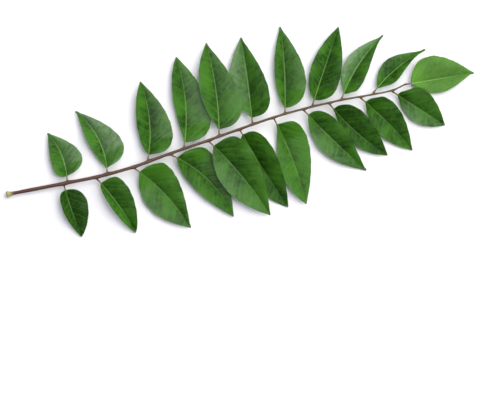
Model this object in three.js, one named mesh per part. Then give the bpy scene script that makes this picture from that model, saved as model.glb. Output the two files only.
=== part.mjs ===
// A cut curry leaf sprig: one compound leaf lying upper side up on a flat surface. A tapering central
// stalk, the rachis, carries ten leaflets on its left, eleven on its right and one at its tip. Each
// leaflet is one piece: a short round stalk that runs on as the midrib of a thin, folded blade.
// Millimetres, +Z up. +X runs from the cut end to the tip, +Y is the leaf's left side, the surface is
// z = 0, and the origin is the centre of the sprig's footprint on that surface.

import * as THREE from "three";

const { abs, cos, max, min, sin, tan, PI } = Math;
const { degToRad, lerp, smoothstep } = THREE.MathUtils;

// --- Rachis ---

// Centre line [x, y, z]: the cut end lies on the surface and the leaflets hold the rest clear of it.
const RACHIS_ROUTE = [
  [0, 0, 1.55],
  [15, -1, 2.1],
  [30, -2, 2.9],
  [47, -3, 3.6],
  [65, -2.8, 4.1],
  [82, -1.2, 4.5],
  [104, 0.5, 4.8],
  [121, 2, 4.9],
  [140, 3.4, 4.8],
  [158, 3.6, 4.6],
  [175, 3, 4.3],
  [190, 1.8, 4],
  [199, 1.4, 3.8],
  [206, 2.6, 3.7],
];
const RACHIS_RADIUS = 0.95; // at the neck of the swollen cut end
const RACHIS_TIP_RADIUS = 0.38;
const BUTT_RADIUS = 1.5; // the swollen base where the leaf came off its twig
const BUTT_LENGTH = 7;
const RACHIS_STEPS = 40;

// --- Leaflets ---

const GAP = 0.32; // between a leaflet's stalk and the rachis's side
const TERMINAL_GAP = 0.5; // between the last stalk and the rachis's slanting end
const STALK_RADIUS = 0.35;
const STALK_FOOT_RADIUS = 0.46; // the slight swelling where the stalk meets the rachis
const STALK_END = 0.94; // share of the stalk's length that stays round
const BLADE_THICKNESS = 0.4;
const MARGIN_THICKNESS = 0.24;
const KEEL_DEPTH = 0.65; // the midrib under the blade, at its base
const KEEL_TIP_DEPTH = 0.32;
const TIP_HALF_WIDTH = 0.6; // the blade ends blunt
const TIP_END_HALF_WIDTH = 0.35; // and rounded off
const CAMBER = 0.05; // how far each half of the blade bulges, as a share of its width
const SHOULDER_GAP = 2.1; // between the rachis's centre line and the blade's widest corner at its base
const DROP_END = 0.3; // share of the leaflet over which it comes down from the rachis to its own level
const BLADE_STEPS = 13;
const FLANK = 0.55; // where across each half the cross-section has its middle point

// One row a leaflet, in the order they grow. "near" is the half towards the cut end, "far" the half
// towards the sprig's tip.
//   at             where it leaves the rachis, along the rachis
//   turn           degrees from the rachis's overall line
//   stalk, blade   lengths, seen from above
//   bow            how far the midrib curves towards the far side
//   pitch          degrees the blade climbs towards its tip
//   arch           how far the middle stands above the line from base to tip
//   rest           how far its lowest point is from the surface
//   near, far      [widest half width, where along the blade, degrees it folds up, taper]; a taper
//                  above 1 draws the half out to the tip, below 1 keeps it full
const LEFT_LEAFLETS = [
  { at: 31.5, turn: 98, stalk: 3.3, blade: 23.5, bow: 2, pitch: 2, arch: -1, rest: 0,
    near: [6.2, 0.32, 22, 1], far: [9.6, 0.27, 12, 1.05] },
  { at: 52, turn: 103, stalk: 3.1, blade: 32.4, bow: 3.5, pitch: 3, arch: 0.5, rest: 0,
    near: [5.4, 0.46, 24, 1.15], far: [10.9, 0.21, 11, 1.1] },
  { at: 72.8, turn: 81, stalk: 3.5, blade: 36.7, bow: 2.5, pitch: 4, arch: -1, rest: 0,
    near: [6.4, 0.47, 26, 0.9], far: [11.5, 0.22, 13, 0.95] },
  { at: 92, turn: 80.5, stalk: 3, blade: 43.1, bow: 2.5, pitch: 1, arch: -0.5, rest: 0,
    near: [6, 0.55, 22, 0.9], far: [12.5, 0.25, 7, 0.95] },
  { at: 110.5, turn: 83.5, stalk: 3.5, blade: 43.6, bow: 1.5, pitch: 1, arch: 0.5, rest: 2,
    near: [8, 0.5, 16, 1], far: [12, 0.25, 14, 1.1] },
  { at: 128, turn: 83, stalk: 3.5, blade: 40.5, bow: 0.5, pitch: 2, arch: -0.5, rest: 0,
    near: [9, 0.45, 8, 1.05], far: [10, 0.25, 29, 1.05] },
  { at: 145, turn: 78.5, stalk: 3, blade: 40.8, bow: 1, pitch: 1.5, arch: 1, rest: 0,
    near: [5, 0.45, 24, 1], far: [10.5, 0.3, 22, 1.05] },
  { at: 158.8, turn: 56.8, stalk: 3.8, blade: 38.4, bow: 0, pitch: 2, arch: 1, rest: 0,
    near: [6.7, 0.42, 14, 1], far: [9, 0.3, 28, 0.95] },
  { at: 173.3, turn: 42, stalk: 4, blade: 35.2, bow: -2, pitch: 3, arch: 0.5, rest: 0,
    near: [6.6, 0.43, 10, 1.4], far: [6.3, 0.27, 34, 1.4] },
  { at: 188.6, turn: 25, stalk: 4.8, blade: 30.8, bow: -1.8, pitch: 6, arch: 0.5, rest: 0,
    near: [6.5, 0.38, 14, 1.6], far: [4.8, 0.25, 32, 1.8] },
];
const RIGHT_LEAFLETS = [
  { at: 29, turn: 86, stalk: 3.5, blade: 24.5, bow: -0.5, pitch: -2, arch: 0.5, rest: 0,
    near: [4, 0.3, 36, 0.85], far: [9, 0.35, 20, 0.85] },
  { at: 45.5, turn: 69, stalk: 4, blade: 30, bow: 1, pitch: -2, arch: 1, rest: 0,
    near: [3.5, 0.45, 40, 0.75], far: [9.5, 0.25, 23, 0.75] },
  { at: 65, turn: 61.5, stalk: 4, blade: 37.6, bow: 2, pitch: 2, arch: -0.5, rest: 0,
    near: [10.5, 0.45, 8, 1.05], far: [11.4, 0.2, 20, 1.1] },
  { at: 84.5, turn: 59.6, stalk: 4, blade: 40.5, bow: 4, pitch: 1, arch: -0.5, rest: 0,
    near: [8, 0.45, 14, 1], far: [11.5, 0.2, 6, 1] },
  { at: 104.5, turn: 65, stalk: 4, blade: 44.4, bow: 1.5, pitch: 1, arch: 0.5, rest: 2,
    near: [10.3, 0.45, 8, 1], far: [12.5, 0.22, 25, 1] },
  { at: 121, turn: 72.6, stalk: 3.3, blade: 42.5, bow: -0.5, pitch: 0, arch: 0.5, rest: 0,
    near: [8.5, 0.45, 6, 0.9], far: [9.5, 0.3, 33, 0.9] },
  { at: 139, turn: 84, stalk: 4, blade: 42.1, bow: 1.5, pitch: 3, arch: -0.5, rest: 0,
    near: [7.5, 0.55, 14, 0.95], far: [11, 0.22, 9, 0.95] },
  { at: 154, turn: 58.3, stalk: 4.1, blade: 40, bow: -0.5, pitch: 0, arch: 1, rest: 0,
    near: [8, 0.45, 9, 1.1], far: [8.1, 0.3, 30, 1.1] },
  { at: 167.1, turn: 55.8, stalk: 4.2, blade: 35.3, bow: -1.5, pitch: 2, arch: 0, rest: 0,
    near: [5.5, 0.53, 8, 0.95], far: [9.3, 0.35, 31, 0.95] },
  { at: 183.1, turn: 59.7, stalk: 4, blade: 33.5, bow: 1, pitch: 1, arch: 0.5, rest: 0,
    near: [7, 0.48, 8, 1], far: [8.9, 0.3, 29, 1] },
  { at: 199.1, turn: 47, stalk: 4, blade: 28, bow: 0, pitch: 2, arch: 0.5, rest: 0,
    near: [6.8, 0.5, 7, 0.95], far: [9.3, 0.33, 28, 0.95] },
];
// The leaflet at the tip has its left half as "near" and its right half as "far".
const TERMINAL_LEAFLET =
  { turn: -5, stalk: 3.5, blade: 31.5, bow: 0, pitch: 5, arch: -0.5, rest: 0,
    near: [12, 0.35, 6, 1.04], far: [7, 0.42, 9, 1.45] };

// --- Colours ---

const STALK_BROWN = new THREE.MeshStandardMaterial({ color: "#6d4a3c", roughness: 0.6 });
const LEAF_GREEN = new THREE.MeshStandardMaterial({ color: "#35702b", roughness: 0.4 });

// Ten points round a section, from its left over the top to its right and back below. Every section,
// of stalk or of blade, has them as five columns across, each with a top and a bottom point.
const RING_ANGLES = Array.from({ length: 10 }, (_, k) => PI / 10 + (k * PI) / 5);

// A closed skin over rings that all have the same number of points. The diagonals of the lower half
// lie under those of the upper half, so that a thin twisted blade keeps its thickness.
function loft(rings) {
  const count = rings[0].length;
  const position = rings.flat().flatMap((p) => [p.x, p.y, p.z]);
  const index = [];
  for (let r = 0; r + 1 < rings.length; r++) {
    for (let k = 0; k < count; k++) {
      const a = r * count + k;
      const b = r * count + ((k + 1) % count);
      if (k < count / 2) index.push(a, b, a + count, b, b + count, a + count);
      else index.push(a, b, b + count, a, b + count, a + count);
    }
  }
  // Each end is closed by a strip between its upper and its lower points.
  const last = (rings.length - 1) * count;
  for (let k = 0; k + 1 < count / 2; k++) {
    const [a, b, c, d] = [k, k + 1, count - 2 - k, count - 1 - k];
    index.push(a, c, b, a, d, c);
    index.push(last + a, last + b, last + c, last + a, last + c, last + d);
  }
  const geometry = new THREE.BufferGeometry();
  geometry.setAttribute("position", new THREE.Float32BufferAttribute(position, 3));
  geometry.setIndex(index);
  return geometry;
}

const rachisLine = new THREE.CatmullRomCurve3(
  RACHIS_ROUTE.map((p) => new THREE.Vector3(...p)), false, "centripetal");
const rachisLength = rachisLine.getLength();

// The rachis's radius at a distance along it: flared at the cut end, then an even taper.
function rachisRadius(at) {
  const taper = lerp(RACHIS_RADIUS, RACHIS_TIP_RADIUS, at / rachisLength);
  return lerp(BUTT_RADIUS, taper, smoothstep(at, 0, BUTT_LENGTH));
}

function rachisRing(u) {
  const centre = rachisLine.getPointAt(u);
  const along = rachisLine.getTangentAt(u);
  const across = new THREE.Vector3(-along.y, along.x, 0).normalize();
  const up = new THREE.Vector3().crossVectors(along, across);
  const radius = rachisRadius(u * rachisLength);
  return RING_ANGLES.map((a) =>
    centre.clone().addScaledVector(across, radius * cos(a)).addScaledVector(up, radius * sin(a)));
}

function rachis() {
  const rings = Array.from({ length: RACHIS_STEPS + 1 }, (_, k) => rachisRing(k / RACHIS_STEPS));
  const mesh = new THREE.Mesh(loft(rings), STALK_BROWN);
  mesh.name = "rachis";
  return mesh;
}

// Half width of one half of the blade at share t of its length: round at the base, drawn out at the tip.
function halfWidth([width, peak, , taper], t) {
  const base = (taper * peak) / (1 - peak);
  return width * (t / peak) ** base * ((1 - t) / (1 - peak)) ** taper;
}

// One section across the blade at x: its left and right halves are [half width, degrees it folds up],
// and its middle is where the midrib is.
function bladeRing(x, t, middle, left, right) {
  const columns = [1, FLANK, 0, -FLANK, -1].map((share) => {
    const [width, fold] = share > 0 ? left : right;
    const out = share * width;
    const bulge = CAMBER * width * 4 * abs(share) * (1 - abs(share));
    return { share, y: middle.y + out, z: middle.z + abs(out) * tan(degToRad(fold)) + bulge };
  });
  const keel = lerp(KEEL_DEPTH, KEEL_TIP_DEPTH, t);
  const half = (c) => (abs(c.share) === 1 ? MARGIN_THICKNESS : BLADE_THICKNESS) / 2;
  const top = columns.map((c) => new THREE.Vector3(x, c.y, c.z + half(c)));
  const bottom = columns.map((c) => new THREE.Vector3(x, c.y, c.z - (c.share === 0 ? keel : half(c))));
  return [...top, ...bottom.reverse()];
}

// A section of the round stalk.
function stalkRing(x, middle, radius) {
  return RING_ANGLES.map((a) =>
    new THREE.Vector3(x, middle.y + radius * cos(a), middle.z + radius * sin(a)));
}

// The sections of one leaflet in its own frame: the rachis's centre line passes the origin at a slant,
// and the leaflet's tip lies along +X. side is 1 on the left and -1 on the right, and height is how far
// the rachis's centre is above the surface.
function leafletRings(shape, side, slant, start, height) {
  const run = shape.stalk + shape.blade - start;
  const along = (x) => (x - start) / run;
  const bowed = (x) => -side * shape.bow * 4 * along(x) * (1 - along(x));
  const climb = (t) => t * shape.blade * tan(degToRad(shape.pitch)) + shape.arch * 4 * t * (1 - t);
  const settled = (x) => smoothstep(along(x), 0, DROP_END);

  const sections = [0, 0.5, 1].map((share) => {
    const x = lerp(start, shape.stalk * STALK_END, share);
    const radius = lerp(STALK_FOOT_RADIUS, STALK_RADIUS, min(1, share * 2));
    return { x, climb: 0, ring: (middle) => stalkRing(x, middle, radius) };
  });
  for (let k = 1; k <= BLADE_STEPS; k++) {
    const t = (1 - cos((PI * k) / BLADE_STEPS)) / 2;
    const x = shape.stalk + t * shape.blade;
    // The half that leans over the rachis keeps its shoulder clear of it.
    const room = (x * sin(slant) - SHOULDER_GAP) / abs(cos(slant));
    const halves = [["near", -1], ["far", 1]].map(([name, lean]) => {
      const blunt = k < BLADE_STEPS ? TIP_HALF_WIDTH : TIP_END_HALF_WIDTH;
      const width = max(halfWidth(shape[name], t), blunt);
      return [lean * cos(slant) > 0 ? min(width, room) : width, shape[name][2]];
    });
    const [left, right] = side > 0 ? halves : halves.toReversed();
    sections.push({ x, climb: climb(t), ring: (middle) => bladeRing(x, t, middle, left, right) });
  }

  // The leaflet leaves the rachis level and comes down to the lowest level at which every point of it
  // is "rest" clear of the surface.
  const firstFree = sections.findIndex((s) => settled(s.x) > 0.05);
  const level = max(...sections.slice(firstFree).map((s) => {
    const share = settled(s.x);
    const lowest = min(...s.ring({ y: 0, z: share * s.climb }).map((p) => p.z));
    return (shape.rest - height - lowest) / share;
  }));
  return sections.map((s) => s.ring({ y: bowed(s.x), z: settled(s.x) * (level + s.climb) }));
}

// A leaflet on the left (side 1) or right (side -1) of the rachis.
function leaflet(name, shape, side) {
  const foot = rachisLine.getPointAt(shape.at / rachisLength);
  const along = rachisLine.getTangentAt(shape.at / rachisLength);
  const turn = degToRad(shape.turn) * side;
  const slant = abs(turn - Math.atan2(along.y, along.x));
  // The stalk's round end just clears the rachis.
  const clear = rachisRadius(shape.at) + GAP;
  const start = (clear + STALK_FOOT_RADIUS * abs(cos(slant))) / sin(slant);
  const mesh = new THREE.Mesh(loft(leafletRings(shape, side, slant, start, foot.z)), LEAF_GREEN);
  mesh.name = name;
  mesh.position.copy(foot);
  mesh.rotation.z = turn;
  return mesh;
}

// The leaflet that carries on from the end of the rachis.
function terminalLeaflet() {
  const foot = rachisLine.getPointAt(1);
  const rings = leafletRings(TERMINAL_LEAFLET, 1, PI / 2, TERMINAL_GAP, foot.z);
  const mesh = new THREE.Mesh(loft(rings), LEAF_GREEN);
  mesh.name = "leaflet_terminal";
  mesh.position.copy(foot);
  mesh.rotation.z = degToRad(TERMINAL_LEAFLET.turn);
  return mesh;
}

const sprig = new THREE.Group();
sprig.add(rachis());
const numbered = (prefix, k) => prefix + String(k + 1).padStart(2, "0");
LEFT_LEAFLETS.forEach((shape, k) => sprig.add(leaflet(numbered("leaflet_left_", k), shape, 1)));
RIGHT_LEAFLETS.forEach((shape, k) => sprig.add(leaflet(numbered("leaflet_right_", k), shape, -1)));
sprig.add(terminalLeaflet());

// The origin goes to the centre of the footprint, and the lowest point onto the surface.
const box = new THREE.Box3().setFromObject(sprig, true);
const footprint = box.getCenter(new THREE.Vector3()).setZ(box.min.z);
sprig.children.forEach((mesh) => mesh.position.sub(footprint));

export default sprig;
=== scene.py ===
# A cut curry leaf sprig, lying upper side up on a pale floor: a brown rachis and its leaflets.
import math
import random

import bpy
import numpy as np
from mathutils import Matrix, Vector


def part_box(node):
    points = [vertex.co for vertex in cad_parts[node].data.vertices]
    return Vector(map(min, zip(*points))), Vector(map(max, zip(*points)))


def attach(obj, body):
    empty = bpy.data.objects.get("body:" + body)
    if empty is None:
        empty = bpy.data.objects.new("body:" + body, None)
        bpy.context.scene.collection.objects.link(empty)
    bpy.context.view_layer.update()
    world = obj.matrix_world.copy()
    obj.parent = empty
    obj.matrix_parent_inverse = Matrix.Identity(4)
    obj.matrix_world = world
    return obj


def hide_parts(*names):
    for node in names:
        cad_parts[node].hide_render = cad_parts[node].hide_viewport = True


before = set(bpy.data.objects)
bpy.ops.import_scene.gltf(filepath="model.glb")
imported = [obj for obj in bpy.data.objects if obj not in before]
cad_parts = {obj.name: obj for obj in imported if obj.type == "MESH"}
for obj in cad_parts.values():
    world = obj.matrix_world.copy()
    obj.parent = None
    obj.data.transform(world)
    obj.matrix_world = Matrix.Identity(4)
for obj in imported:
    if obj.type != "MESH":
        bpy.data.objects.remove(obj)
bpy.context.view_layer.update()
MM = 0.001


# --- Rachis ---
# The sprig's central stalk, tough and faintly ribbed under a thin red-brown skin. It is swollen where
# each leaflet's stalk grows out of it, and at the pale foot that tore off the twig.

CORNERS = 10  # corners round each section of the frame's solids
STEM_SIDES = 24
STEM_CUTS = (15, 15)
FOOT_LENGTH = 2.6 * MM  # the flared end
FOOT_NARROWING = 0.24  # how much narrower than the solid its neck is, as a share
RIM_ROUNDING = 0.35
COLLAR_RISE = 0.16
RIM_WIDTH = 0.22  # of the foot's face, as a share of its radius
RIM_DROP = 0.0016  # how far the face lies inside the rim, as a share of the rachis's length
PITH_WIDTH = 0.35
PITH_DROP = 0.0014
RIB_RISE = (0.035, 0.02)  # of five broad ribs and nine fine ones, as shares of the radius
RIB_TWIST = (23 * MM, 15 * MM)  # the length over which each kind turns by a radian of its wave
GROOVE_DEPTH = 0.09  # the groove along the top
GROOVE_WIDTH = 0.4
NODE_SPREAD = 1.5 * MM  # how far along the rachis a leaflet's stalk swells it
NODE_SWELL = 0.06 * MM  # all round
NODE_RISE = 0.32 * MM  # on the stalk's side
SKIN_RED = (0.092, 0.043, 0.026)
SKIN_PURPLE = (0.088, 0.030, 0.024)
SKIN_OLIVE = (0.120, 0.088, 0.043)
SKIN_DARK = (0.034, 0.017, 0.010)
FOOT_GREEN = (0.34, 0.33, 0.13)
PITH = (0.44, 0.42, 0.20)


def sections(name, foot_near):
    """The sections of a solid, each of ten corners, in order from the end that is nearest foot_near."""
    corners = np.unique([tuple(v.co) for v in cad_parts[name].data.vertices], axis=0)
    plan = corners[:, :2]
    apart = np.linalg.norm(plan[:, None] - plan[None], axis=2)
    foot, end = np.unravel_index(apart.argmax(), apart.shape)
    off_foot, off_end = (np.linalg.norm(foot_near[:, :2] - plan[i], axis=1).min() for i in (foot, end))
    if off_end < off_foot:
        foot, end = end, foot
    heading = plan[end] - plan[foot]
    for _ in range(2):
        rows = corners[np.argsort(plan @ heading)].reshape(-1, CORNERS, 3)
        heading = (rows[-1] - rows[0]).mean(axis=0)[:2]
    return rows


def read_rows(rows, place):
    """Rows of values read at fractional row numbers, along a smooth curve through them."""
    place = np.clip(place, 0, len(rows) - 1)
    first = np.minimum(place.astype(int), len(rows) - 2)
    t = (place - first).reshape(-1, *[1] * (rows.ndim - 1))
    before, here, there, after = (rows[np.clip(first + k, 0, len(rows) - 1)] for k in (-1, 0, 1, 2))
    bend = 2 * before - 5 * here + 4 * there - after
    twist = 3 * (here - there) + after - before
    return here + t / 2 * (there - before + t * (bend + t * twist))


def smooth(value, low, high):
    t = np.clip((value - low) / (high - low), 0, 1)
    return t * t * (3 - 2 * t)


def bell(distance, width):
    return np.exp(-((distance / width) ** 2))


def place_vertices(piece, points):
    piece.data.vertices.foreach_set("co", np.ascontiguousarray(points, dtype=np.float32).ravel())
    piece.data.update()


def vertex_places(piece):
    places = np.empty(len(piece.data.vertices) * 3, dtype=np.float32)
    piece.data.vertices.foreach_get("co", places)
    return places.reshape(-1, 3).astype(float)


def keep_vector(piece, name, *values):
    """Stores three numbers on every vertex for the material to read."""
    layer = piece.data.attributes.new(name, "FLOAT_VECTOR", "POINT")
    count = len(piece.data.vertices)
    table = np.stack([np.broadcast_to(value, count) for value in values], axis=-1)
    layer.data.foreach_set("vector", np.ascontiguousarray(table, dtype=np.float32).ravel())


def select_only(piece):
    bpy.ops.object.select_all(action="DESELECT")
    piece.select_set(True)
    bpy.context.view_layer.objects.active = piece


def edit_with(piece, kind, wanted):
    """Opens a piece in edit mode with only the wanted edges or faces selected."""
    select_only(piece)
    bpy.ops.object.mode_set(mode="EDIT")
    bpy.ops.mesh.select_mode(type=kind)
    bpy.ops.mesh.select_all(action="DESELECT")
    bpy.ops.object.mode_set(mode="OBJECT")
    for part in piece.data.edges if kind == "EDGE" else piece.data.polygons:
        part.select = bool(wanted(part))
    bpy.ops.object.mode_set(mode="EDIT")


def node(tree, kind, inputs=(), output=0, **settings):
    """Adds a shader node, sets or joins its inputs, and gives back one of its outputs."""
    made = tree.nodes.new(kind)
    for name, value in settings.items():
        setattr(made, name, value)
    for place, value in dict(inputs).items():
        if isinstance(value, bpy.types.NodeSocket):
            tree.links.new(value, made.inputs[place])
        else:
            made.inputs[place].default_value = value
    return made.outputs[output]


def calc(tree, operation, *values):
    return node(tree, "ShaderNodeMath", enumerate(values), operation=operation)


def rise(tree, value, low, high, start=0.0, stop=1.0):
    """A number that goes smoothly from start to stop as value goes from low to high."""
    inputs = {0: value, 1: low, 2: high, 3: start, 4: stop}
    return node(tree, "ShaderNodeMapRange", inputs, interpolation_type="SMOOTHSTEP")


def tint(tree, share, under, over, how="MIX"):
    """Lays one colour over another."""
    colour = [c if isinstance(c, bpy.types.NodeSocket) else (*c, 1.0) for c in (under, over)]
    inputs = {0: share, 6: colour[0], 7: colour[1]}
    return node(tree, "ShaderNodeMix", inputs, output=2, data_type="RGBA", blend_type=how)


def noise(tree, vector, scale, detail=3.0, rough=0.5):
    inputs = {"Vector": vector, "Scale": scale, "Detail": detail, "Roughness": rough}
    return node(tree, "ShaderNodeTexNoise", inputs)


def stretched(tree, vector, by):
    return node(tree, "ShaderNodeVectorMath", {0: vector, 1: by}, operation="MULTIPLY")


def stored(tree, name):
    """The three numbers kept on a piece's vertices under a name."""
    vector = node(tree, "ShaderNodeAttribute", output="Vector", attribute_name=name)
    split = node(tree, "ShaderNodeSeparateXYZ", {0: vector}).node
    return vector, *split.outputs


def new_material(name):
    material = bpy.data.materials.new(name)
    material.use_nodes = True
    return material, material.node_tree, material.node_tree.nodes["Principled BSDF"].inputs


def stem_skin():
    material, tree, shader = new_material("rachis_skin")
    along, turned, out = stored(tree, "stem")[1:]
    objects = node(tree, "ShaderNodeTexCoord", output="Object")
    grain = stretched(tree, stored(tree, "grain")[0], (1.0, 3.2, 3.2))
    streaks = noise(tree, grain, 1.0)
    patches = noise(tree, objects, 70.0)
    flecks = noise(tree, objects, 1500.0, 2.0)
    skin = tint(tree, rise(tree, along, 15.0, 75.0), SKIN_PURPLE, SKIN_RED)
    skin = tint(tree, rise(tree, along, 70.0, 190.0, 0.0, 0.75), skin, SKIN_OLIVE)
    skin = tint(tree, rise(tree, patches, 0.42, 0.68, 0.0, 0.5), skin, SKIN_OLIVE)
    skin = tint(tree, rise(tree, streaks, 0.5, 0.72, 0.0, 0.75), skin, SKIN_DARK)
    skin = tint(tree, rise(tree, flecks, 0.62, 0.75, 0.0, 0.35), skin, FOOT_GREEN)
    # Painted shade: its right flank, the side turned away from the light, is painted darker.
    skin = tint(tree, rise(tree, turned, 1.7, 2.3, 0.0, 0.7), skin, SKIN_DARK)
    edge = calc(tree, "ADD", along, calc(tree, "MULTIPLY", rise(tree, streaks, 0.3, 0.7), 1.6))
    skin = tint(tree, rise(tree, edge, 2.6, 5.0, 0.9, 0.0), skin, FOOT_GREEN)
    skin = tint(tree, rise(tree, out, 0.9, 0.75), skin, PITH)
    tree.links.new(skin, shader["Base Color"])
    tree.links.new(rise(tree, patches, 0.3, 0.7, 0.42, 0.62), shader["Roughness"])
    shader["Specular IOR Level"].default_value = 0.2
    relief = calc(tree, "ADD", calc(tree, "MULTIPLY", streaks, 0.7), calc(tree, "MULTIPLY", flecks, 0.3))
    bump = node(tree, "ShaderNodeBump", {"Height": relief, "Strength": 0.5, "Distance": 0.0002})
    tree.links.new(bump, shader["Normal"])
    return material


def leaflet_names(kind):
    return sorted(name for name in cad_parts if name.startswith("leaflet_" + kind))


side_leaflets = leaflet_names("left") + leaflet_names("right")
foot_end = np.array([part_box("rachis")[0]])
stem_rows = sections("rachis", foot_end)
stem_line = stem_rows.mean(axis=1)
stem_radius = np.linalg.norm(stem_rows - stem_line[:, None], axis=2).mean(axis=1)
stem_feet = {name: sections(name, stem_line)[0].mean(axis=0) for name in side_leaflets}

# A capped cylinder has its foot's face set in to a rim, and is cut into short lengths, before it is laid
# along the rachis's line.
bpy.ops.object.select_all(action="DESELECT")
bpy.ops.mesh.primitive_cylinder_add(vertices=STEM_SIDES, radius=1, depth=1, location=(0, 0, 0.5))
bpy.ops.object.transform_apply()
rachis = bpy.context.object
rachis.name = "rachis_stem"
edit_with(rachis, "FACE", lambda face: abs(face.normal.z) > 0.9 and face.center.z < 0.5)
bpy.ops.mesh.inset(thickness=RIM_WIDTH)
bpy.ops.transform.translate(value=(0, 0, RIM_DROP))
bpy.ops.mesh.inset(thickness=PITH_WIDTH)
bpy.ops.transform.translate(value=(0, 0, PITH_DROP))
bpy.ops.object.mode_set(mode="OBJECT")
for cuts in STEM_CUTS:
    places = vertex_places(rachis)
    edit_with(rachis, "EDGE", lambda edge: abs(np.subtract(*places[list(edge.vertices)])[2]) > 0.01)
    bpy.ops.mesh.subdivide(number_cuts=cuts)
    bpy.ops.object.mode_set(mode="OBJECT")

blank = vertex_places(rachis)
share = blank[:, 2]
out = np.hypot(blank[:, 0], blank[:, 1])
turned = np.arctan2(blank[:, 1], blank[:, 0])
row = share * (len(stem_line) - 1)
line = read_rows(stem_line, row)
radius = read_rows(stem_radius, row)
heading = read_rows(stem_line, row + 0.3) - read_rows(stem_line, row - 0.3)
heading /= np.linalg.norm(heading, axis=1, keepdims=True)
across = np.cross((0.0, 0.0, 1.0), heading)
across /= np.linalg.norm(across, axis=1, keepdims=True)
up = np.cross(heading, across)
length = np.linalg.norm(np.diff(stem_line, axis=0), axis=1).sum()
along = share * length
aim = across * np.cos(turned)[:, None] + up * np.sin(turned)[:, None]
# The foot narrows sharply to the neck and its rim is rounded off.
neck = 1 - FOOT_NARROWING * smooth(along, 0.8 * MM, FOOT_LENGTH) * (1 - smooth(along, 3 * MM, 12 * MM))
rim = np.sqrt(1 - RIM_ROUNDING * (1 - smooth(along, 0, 0.5 * MM)))
rim = rim * (1 + COLLAR_RISE * (1 - smooth(along, 1.8 * MM, 3.4 * MM)))
broad_ribs = RIB_RISE[0] * np.sin(5 * turned + along / RIB_TWIST[0])
fine_ribs = RIB_RISE[1] * np.sin(9 * turned - along / RIB_TWIST[1])
ribs = 1 + broad_ribs + fine_ribs
ribs -= GROOVE_DEPTH * bell(turned - math.pi / 2, GROOVE_WIDTH) * smooth(along, 20 * MM, 60 * MM)
radius = radius * neck * rim * ribs
for foot in stem_feet.values():
    nearest = np.linalg.norm(line - foot, axis=1).argmin()
    toward = foot - line[nearest]
    toward /= np.linalg.norm(toward)
    facing = np.clip(aim @ toward, 0, 1)
    beside = bell(along - along[nearest], NODE_SPREAD)
    radius = radius + beside * (NODE_SWELL + NODE_RISE * facing**3)
place_vertices(rachis, line + aim * (out * radius)[:, None])
keep_vector(rachis, "stem", along / MM, turned, out)
keep_vector(rachis, "grain", along / (14 * MM), out * np.cos(turned), out * np.sin(turned))
rachis.data.materials.append(stem_skin())
select_only(rachis)
bpy.ops.object.shade_smooth()
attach(rachis, "root")
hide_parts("rachis")


# --- Leaflets ---
# Thin leathery blades, waxy above and dull below, folded along the midrib. Stalk, midrib and blade are
# one growth, so each leaflet is one skin laid over its solid, with its side veins pressed into it.

ALONG_STEPS = 96
ACROSS_STEPS = 40
STALK_ROWS = 3  # sections of the solid's stalk; one more is added inside the rachis
STALK_SHARE = 0.12  # share of the steps that the stalk has
ROOT_DEPTH = 0.7 * MM  # how far the stalk reaches in towards the rachis's middle
ROOT_FLARE = 1.25
COLUMN_CROWDING = 1.35  # above 1, the grid's lines lie closer together near the midrib
FLANK = 0.55  # where across each half the solid has its middle corner
HALF_BLADE = 0.2 * MM  # half the solid's thickness; the skin is thinner
HALF_SKIN = 0.16 * MM
HALF_EDGE = 0.08 * MM
CREASE = 0.3 * MM  # rounding at the bottom of the fold
VEIN_APART = 2.7 * MM
VEIN_LEAN = 0.55
VEIN_BEND = 22.0  # how fast the side veins turn towards the tip, per metre
VEIN_DEPTH = 0.05 * MM
PUFF = 0.075 * MM  # how far the blade rises between its side veins
RIB_RISE_ABOVE = 0.09 * MM
RIB_GROOVE = 0.05 * MM  # on each side of the midrib
SCALLOP = 0.010  # as a share of the half's width
WAVE_LENGTHS = (9.0, 14.0)  # of the margin, in millimetres
WAVE_SIZES = (0.12, 0.30)
SHADE_ANGLE = math.radians(55)
# Painted sheen: the glossy half's green is painted lighter by this much.
PAINTED_SHEEN_TONE = 0.2  # how much lighter a fully glossy half is
COAT_ROUGHNESS = 0.46
# Painted shade: the right-hand leaflets' midribs, which lie in the shade of their fold, are painted less
# pale.
PALE_RIB_LEFT = 0.75  # how strongly the midrib's pale colour shows
PALE_RIB_RIGHT = 0.42

LEAF_DEEP = (0.0075, 0.042, 0.0010)
LEAF_MID = (0.036, 0.142, 0.0050)
LEAF_VEIN = (0.070, 0.170, 0.024)
LEAF_MIDRIB = (0.170, 0.300, 0.075)
LEAF_BELOW = (0.070, 0.140, 0.038)
LEAF_BELOW_VEIN = (0.150, 0.235, 0.080)
YOUNG_DEEP = (0.042, 0.138, 0.010)
YOUNG_MID = (0.086, 0.232, 0.024)
STALK_RED = (0.095, 0.045, 0.028)
STALK_GREEN = (0.160, 0.200, 0.060)
TIP_GREY = (0.120, 0.125, 0.085)
# Leaflets that differ from the rest: how light their green is, and how glossy their right-hand half is,
# or their left-hand one where the number is negative.
STAND_OUT = {
    "leaflet_left_01": (0.02, 0.50),
    "leaflet_left_02": (-0.01, 0.65),
    "leaflet_left_03": (-0.06, 0.24),
    "leaflet_left_04": (-0.02, 0.20),
    "leaflet_left_05": (0.00, 0.16),
    "leaflet_left_06": (-0.02, -0.62),
    "leaflet_left_07": (0.05, 0.24),
    "leaflet_left_09": (0.02, -1.0),
    "leaflet_left_10": (0.0, -0.20),
    # Painted shade: right_01's much darker green stands for a leaflet turned away from the light.
    "leaflet_right_01": (-0.60, 0.0),
    "leaflet_right_02": (-0.04, 0.12),
    "leaflet_right_03": (0.09, 0.16),
    "leaflet_right_05": (0.05, 0.24),
    "leaflet_right_07": (0.08, 0.10),
    "leaflet_right_08": (0.02, 0.30),
    "leaflet_right_09": (-0.08, 0.0),
    "leaflet_right_11": (-0.03, 0.34),
}


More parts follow.
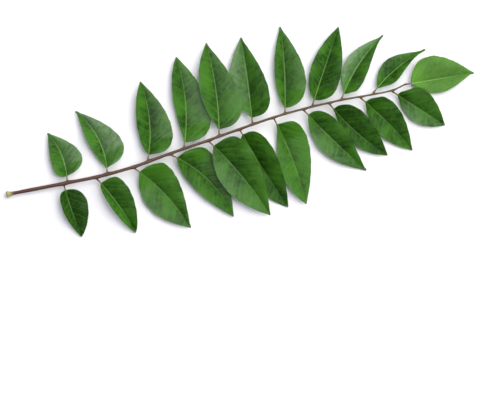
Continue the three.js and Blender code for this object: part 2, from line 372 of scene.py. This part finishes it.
def leaf_skin(name, deep, mid, vein, gloss, vein_share):
    """One side of a leaflet: blade, side veins, midrib, edge, tip and stalk."""
    material, tree, shader = new_material(name)
    along, across = stored(tree, "leaf_size")[1:3]
    share, side, phase = stored(tree, "leaf_share")[1:]
    # The stored tone carries the leaflet's lightness and the painted sheen on its glossy half.
    tone, shine, pale_rib = stored(tree, "leaf_tone")[1:]
    objects = node(tree, "ShaderNodeTexCoord", output="Object")
    off = calc(tree, "ABSOLUTE", across)
    reach = calc(tree, "ABSOLUTE", side)

    clouds = noise(tree, objects, 95.0, 3.0)
    mottle = noise(tree, objects, 520.0, 4.0, 0.6)
    pores = noise(tree, objects, 3200.0, 2.0)
    cells = {"Vector": objects, "Scale": 1150.0}
    net = node(tree, "ShaderNodeTexVoronoi", cells, feature="DISTANCE_TO_EDGE")
    # Streaks that run with the side veins.
    bands = stretched(tree, stored(tree, "leaf_share")[0], (0.0, 1.4, 1.1))
    streaks = noise(tree, bands, 1.0, 3.0, 0.55)

    # Side veins: the stored phase passes a whole number at each.
    swing = calc(tree, "PINGPONG", phase, 0.5)
    inside = calc(tree, "MULTIPLY", rise(tree, off, 0.15, 0.5), rise(tree, reach, 0.97, 0.78))
    veins = calc(tree, "MULTIPLY", rise(tree, swing, 0.13, 0.02), inside)
    rib_width = rise(tree, share, 0.0, 1.0, 0.17, 0.04)
    rib = rise(tree, calc(tree, "SUBTRACT", off, rib_width), 0.10, -0.06)
    mesh_lines = calc(tree, "MULTIPLY", rise(tree, net, 0.07, 0.0), inside)

    # Painted shade: the green is darker along the midrib, down in the fold, and lighter towards the margins.
    light = calc(tree, "ADD", calc(tree, "ADD", clouds, tone), rise(tree, reach, 0.0, 0.9, -0.06, 0.05))
    light = calc(tree, "ADD", light, rise(tree, streaks, 0.3, 0.7, -0.085, 0.085))
    light = calc(tree, "ADD", light, rise(tree, mottle, 0.3, 0.7, -0.03, 0.03))
    colour = tint(tree, rise(tree, light, 0.26, 0.76), deep, mid)
    colour = tint(tree, rise(tree, mottle, 0.35, 0.75, 0.0, 0.40), colour, mid)
    colour = tint(tree, calc(tree, "MULTIPLY", mesh_lines, vein_share * 0.35), colour, vein)
    colour = tint(tree, calc(tree, "MULTIPLY", veins, vein_share), colour, vein)
    colour = tint(tree, rise(tree, reach, 0.955, 0.995, 0.0, 0.55), colour, vein)
    rib_paleness = calc(tree, "MULTIPLY", rib, pale_rib)
    rib_share = calc(tree, "MULTIPLY", rib_paleness, rise(tree, share, 0.98, 0.2, 0.5, 1.0))
    colour = tint(tree, rib_share, colour, LEAF_MIDRIB)
    ragged = calc(tree, "ADD", share, calc(tree, "MULTIPLY", mottle, 0.02))
    colour = tint(tree, rise(tree, ragged, 0.965, 1.0, 0.0, 0.8), colour, TIP_GREY)
    stalk = tint(tree, rise(tree, along, -2.2, 0.6), STALK_RED, STALK_GREEN)
    colour = tint(tree, rise(tree, along, 0.7, -0.1), colour, stalk)
    tree.links.new(colour, shader["Base Color"])

    rough = rise(tree, mottle, 0.3, 0.75, gloss - 0.05, gloss + 0.12)
    tree.links.new(rough, shader["Roughness"])
    grain = calc(tree, "ADD", calc(tree, "MULTIPLY", mottle, 0.6), calc(tree, "MULTIPLY", pores, 0.25))
    grain = calc(tree, "SUBTRACT", grain, calc(tree, "MULTIPLY", mesh_lines, 0.35))
    bump = node(tree, "ShaderNodeBump", {"Height": grain, "Strength": 0.6, "Distance": 0.0002})
    tree.links.new(bump, shader["Normal"])
    off_rib = calc(tree, "SUBTRACT", 1.0, rib)
    patchy = calc(tree, "MULTIPLY", rise(tree, mottle, 0.32, 0.66, 0.6, 1.4), off_rib)
    tree.links.new(calc(tree, "MULTIPLY", shine, patchy), shader["Coat Weight"])
    shader["Coat Roughness"].default_value = COAT_ROUGHNESS
    return material, shader


def leaflet_rows(name):
    """A leaflet's middle line, how far its margins and flanks are from it, its half depth and its heading."""
    rows = sections(name, stem_line)
    heading = (rows[-1] - rows[0]).mean(axis=0)[:2]
    heading /= np.linalg.norm(heading)
    left = np.array((-heading[1], heading[0]))
    order = np.argsort(-(rows[:, :, :2] @ left), axis=1)
    columns = np.take_along_axis(rows, order[:, :, None], axis=1).reshape(len(rows), 5, 2, 3)
    one, other = columns[:, :, 0], columns[:, :, 1]
    top = np.where(one[:, :, 2:] > other[:, :, 2:], one, other)
    low = columns.sum(axis=2) - top
    middle = (top + low) / 2
    blade = np.arange(len(rows)) >= STALK_ROWS
    middle[blade, 2, 2] = top[blade, 2, 2] - HALF_BLADE
    line = middle[:, 2]
    depth = (top - low)[:, 2, 2] / 2
    offsets = middle[:, (0, 1, 3, 4)] - line[:, None]
    # One more section carries the stalk on into the rachis.
    root = line[0] - np.array((*heading, 0.0)) * ROOT_DEPTH
    line = np.vstack((root, line))
    offsets = np.concatenate((offsets[:1] * ROOT_FLARE, offsets))
    depth = np.concatenate((depth[:1] * ROOT_FLARE, depth))
    return line, offsets, depth, heading


def lay_leaflet(name, blank, tone, shine, pale_rib):
    """Lays a copy of the flat blank over a leaflet's solid and presses its veins into it."""
    chance = random.Random(name)
    piece = blank.copy()
    piece.data = blank.data.copy()
    piece.name = name.replace("leaflet", "leaf")
    bpy.context.collection.objects.link(piece)
    line, offsets, depth, heading = leaflet_rows(name)

    flat = vertex_places(piece)
    lengthways = (flat[:, 0] + 1) / 2
    side = np.sign(flat[:, 1]) * np.abs(flat[:, 1]) ** COLUMN_CROWDING
    face = np.sign(flat[:, 2])
    reach = np.abs(side)
    last = len(line) - 1
    in_stalk = lengthways < STALK_SHARE
    row = np.where(in_stalk, lengthways / STALK_SHARE * STALK_ROWS,
                   STALK_ROWS + (lengthways - STALK_SHARE) / (1 - STALK_SHARE) * (last - STALK_ROWS))
    middle = read_rows(line, row)
    # The stalk's sides run straight from section to section, and the blade's in a curve.
    first = np.minimum(row.astype(int), last - 1)
    t = (row - first)[:, None, None]
    straight = offsets[first] * (1 - t) + offsets[first + 1] * t
    reading = np.where(row[:, None, None] < STALK_ROWS, straight, read_rows(offsets, row))
    is_left = (side > 0)[:, None]
    margin = np.where(is_left, reading[:, 0], reading[:, 3])
    flank = np.where(is_left, reading[:, 1], reading[:, 2])
    curve = (flank - FLANK * margin) / (FLANK * FLANK - FLANK)
    offset = reach[:, None] * (margin - curve + curve * reach[:, None])
    # The last section is rounded off.
    tip = np.sqrt(1 - np.clip((row - last + 0.36) / 0.37, 0, 1) ** 2)
    offset *= tip[:, None]

    base = read_rows(line, np.array([float(STALK_ROWS)]))[0]
    along = (middle - base)[:, :2] @ heading
    share = along / ((line[-1] - base)[:2] @ heading)
    off = np.linalg.norm(offset, axis=1)
    bladed = smooth(row, STALK_ROWS - 0.6, STALK_ROWS + 1.3)

    # Side veins run out from the midrib and turn towards the tip, a little unevenly.
    starts = [chance.uniform(0, 60) for _ in range(2)]
    uneven = [chance.uniform(0, 2 * math.pi) for _ in range(4)]
    phase = (along - VEIN_LEAN * off - VEIN_BEND * off**2) / VEIN_APART
    phase += np.where(side > 0, starts[0], starts[1])
    phase += 0.22 * np.sin(phase * 1.9 + np.where(side > 0, uneven[0], uneven[1]))
    phase += 0.10 * np.sin(off / (2.1 * MM) + phase * 2.7 + uneven[2])
    swing = np.abs(phase - np.round(phase))
    inside = smooth(off, 0.25 * MM, 1.1 * MM) * (1 - smooth(reach, 0.75, 0.98)) * bladed
    inside *= 1 - smooth(share, 0.9, 1.0)
    inside_ends = smooth(share, 0.06, 0.2) * (1 - smooth(share, 0.88, 0.97))
    height = inside * (PUFF * smooth(swing, 0.0, 0.42) - VEIN_DEPTH * bell(swing, 0.09))

    # The margins are faintly scalloped, and wave up and down.
    scallop = 0.5 * np.sin(phase * 2 * math.pi + 0.9) + np.sin(phase * 2.3 + uneven[3])
    offset *= 1 + (SCALLOP * scallop * reach**4 * inside_ends)[:, None]
    wave = chance.uniform(*WAVE_LENGTHS) * MM
    for sign in (1, -1):
        turns = along / wave * 2 * math.pi + chance.uniform(0, 2 * math.pi)
        size = chance.uniform(*WAVE_SIZES) * MM
        ends = np.sqrt(np.clip(share * (1 - share), 0, 1)) * 2
        height += np.where(side * sign > 0, size * reach**2.5 * ends * np.sin(turns), 0.0)

    # The fold's bottom is rounded, and the midrib lies in it as a narrow raised line.
    flank_rise = np.abs(reading[:, (1, 2), 2]).mean(axis=1)
    flank_reach = np.linalg.norm(reading[:, (1, 2), :2], axis=2).mean(axis=1)
    slope = flank_rise / np.maximum(flank_reach, 0.1 * MM)
    height += bladed * slope * (np.sqrt(off**2 + CREASE**2) - off)
    rib = (1 - 0.6 * np.clip(share, 0, 1)) * MM
    above = RIB_RISE_ABOVE * bell(off, 0.30 * rib) - RIB_GROOVE * bell(off - 0.62 * rib, 0.25 * rib)
    stem_depth = read_rows(depth, row)
    below = (stem_depth * 2 - 2 * HALF_BLADE) * 0.85 * bell(off, 0.42 * rib)
    skin = HALF_EDGE + (HALF_SKIN - HALF_EDGE) * (1 - smooth(reach, 0.5, 1.0))
    round_stalk = np.maximum(stem_depth * np.sqrt(np.clip(1 - reach**2, 0, 1)), 0.03 * MM)
    thick = np.where(face > 0, skin + above, skin + below) * (0.35 + 0.65 * tip)
    height += face * (bladed * thick + (1 - bladed) * round_stalk)

    points = middle + offset
    points[:, 2] += height
    place_vertices(piece, points)
    # The third number of this one isn't read.
    keep_vector(piece, "leaf_size", along / MM, off * np.sign(side) / MM, 0.0)
    keep_vector(piece, "leaf_share", np.clip(share, -1, 1), side, phase)
    # The gloss is mostly on one half, which is also painted a little paler as painted sheen.
    glossy = smooth(-side * math.copysign(1, shine), -0.08, 0.08)
    gloss_and_painted_sheen = abs(shine) * (0.2 + 0.8 * glossy)
    keep_vector(piece, "leaf_tone", tone + PAINTED_SHEEN_TONE * gloss_and_painted_sheen, gloss_and_painted_sheen, pale_rib)
    select_only(piece)
    bpy.ops.object.shade_smooth_by_angle(angle=SHADE_ANGLE)
    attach(piece, "root")
    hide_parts(name)
    return piece


leaf_upper, upper = leaf_skin("leaf_upper", LEAF_DEEP, LEAF_MID, LEAF_VEIN, 0.38, 0.34)
leaf_under, under = leaf_skin("leaf_underside", LEAF_BELOW, LEAF_BELOW, LEAF_BELOW_VEIN, 0.62, 0.75)
upper["Specular IOR Level"].default_value = 0.10
under["Specular IOR Level"].default_value = 0.3

# One flat blank, cut into a grid and given its underside, is the start of every leaflet.
bpy.ops.object.select_all(action="DESELECT")
bpy.ops.mesh.primitive_grid_add(x_subdivisions=ALONG_STEPS, y_subdivisions=ACROSS_STEPS, size=2)
blank_leaf = bpy.context.object
blank_leaf.data.materials.append(leaf_upper)
blank_leaf.data.materials.append(leaf_under)
solidify = blank_leaf.modifiers.new("Underside", "SOLIDIFY")
solidify.thickness = 2
solidify.offset = 0
solidify.material_offset = 1
bpy.ops.object.modifier_apply(modifier="Underside")

for leaflet in side_leaflets:
    plain_look = (random.Random("tone " + leaflet).uniform(-0.04, 0.04), 0.02)
    pale_rib = PALE_RIB_LEFT if "left" in leaflet else PALE_RIB_RIGHT
    piece = lay_leaflet(leaflet, blank_leaf, *STAND_OUT.get(leaflet, plain_look), pale_rib)


# --- Tip leaflet ---
# The last and youngest leaflet, flatter and a lighter, yellower green, with its veins showing clearly.

young_upper, young = leaf_skin("leaf_young_upper", YOUNG_DEEP, YOUNG_MID, LEAF_VEIN, 0.42, 0.95)
young["Specular IOR Level"].default_value = 0.12
tip_leaf = lay_leaflet("leaflet_terminal", blank_leaf, 0.0, 0.04, 0.9)
tip_leaf.data.materials[0] = young_upper
bpy.data.objects.remove(blank_leaf)


# --- Floor, light and camera ---
# A plain white floor. A soft panel overhead shows only in the gloss. A wider soft light from the leaf's
# left and tip and an even pale sky give all the other light. The camera looks straight down.

VIEW_WIDTH = 0.241
VIEW_ROLL = math.radians(14.7)
CAMERA_HEIGHT = 1.0
SENSOR = 36.0

bpy.ops.object.select_all(action="DESELECT")
bpy.ops.mesh.primitive_plane_add(size=6)
floor = bpy.context.object
floor.name = "floor"
floor_paint, _, floor_shader = new_material("floor_paint")
floor_shader["Base Color"].default_value = (0.86, 0.86, 0.885, 1)
floor_shader["Roughness"].default_value = 0.85
floor_shader["Specular IOR Level"].default_value = 0.2
floor.data.materials.append(floor_paint)

foot = Vector(stem_line[0])
# The view's middle, from the rachis's foot: along the sprig and across it.
view_middle = Vector((foot.x + 0.1116, foot.y - 0.0357, 0.0))


def soft_light(name, place, size, power, colour):
    """A square soft light aimed at the middle of the view, in the view's own directions."""
    right = Vector((math.cos(VIEW_ROLL), -math.sin(VIEW_ROLL), 0))
    upward = Vector((math.sin(VIEW_ROLL), math.cos(VIEW_ROLL), 0))
    spot = view_middle + right * place[0] + upward * place[1] + Vector((0, 0, place[2]))
    bpy.ops.object.light_add(type="AREA", location=spot)
    light = bpy.context.object
    light.name = name
    light.rotation_euler = (view_middle - spot).to_track_quat("-Z", "Y").to_euler()
    light.data.size = size
    light.data.energy = power
    light.data.color = colour
    return light


panel = soft_light("overhead_panel", (-0.20, 0.10, 1.15), 1.0, 19.0, (1.0, 1.0, 1.0))
panel.visible_diffuse = False
side_light = soft_light("side_light", (0.72, 0.60, 0.84), 1.9, 40.0, (1.0, 0.985, 0.95))
side_light.visible_glossy = False

world = bpy.data.worlds.new("studio")
world.use_nodes = True
world.node_tree.nodes["Background"].inputs["Color"].default_value = (0.90, 0.90, 1.0, 1)
world.node_tree.nodes["Background"].inputs["Strength"].default_value = 0.56
world.cycles_visibility.glossy = False
bpy.context.scene.world = world
bpy.context.scene.view_settings.view_transform = "Standard"

camera_place = view_middle + Vector((0, 0, CAMERA_HEIGHT))
bpy.ops.object.camera_add(location=camera_place, rotation=(0, 0, -VIEW_ROLL))
camera = bpy.context.object
camera.data.sensor_width = SENSOR
camera.data.lens = SENSOR * CAMERA_HEIGHT / VIEW_WIDTH
camera.data.clip_start = 0.01
bpy.context.scene.camera = camera
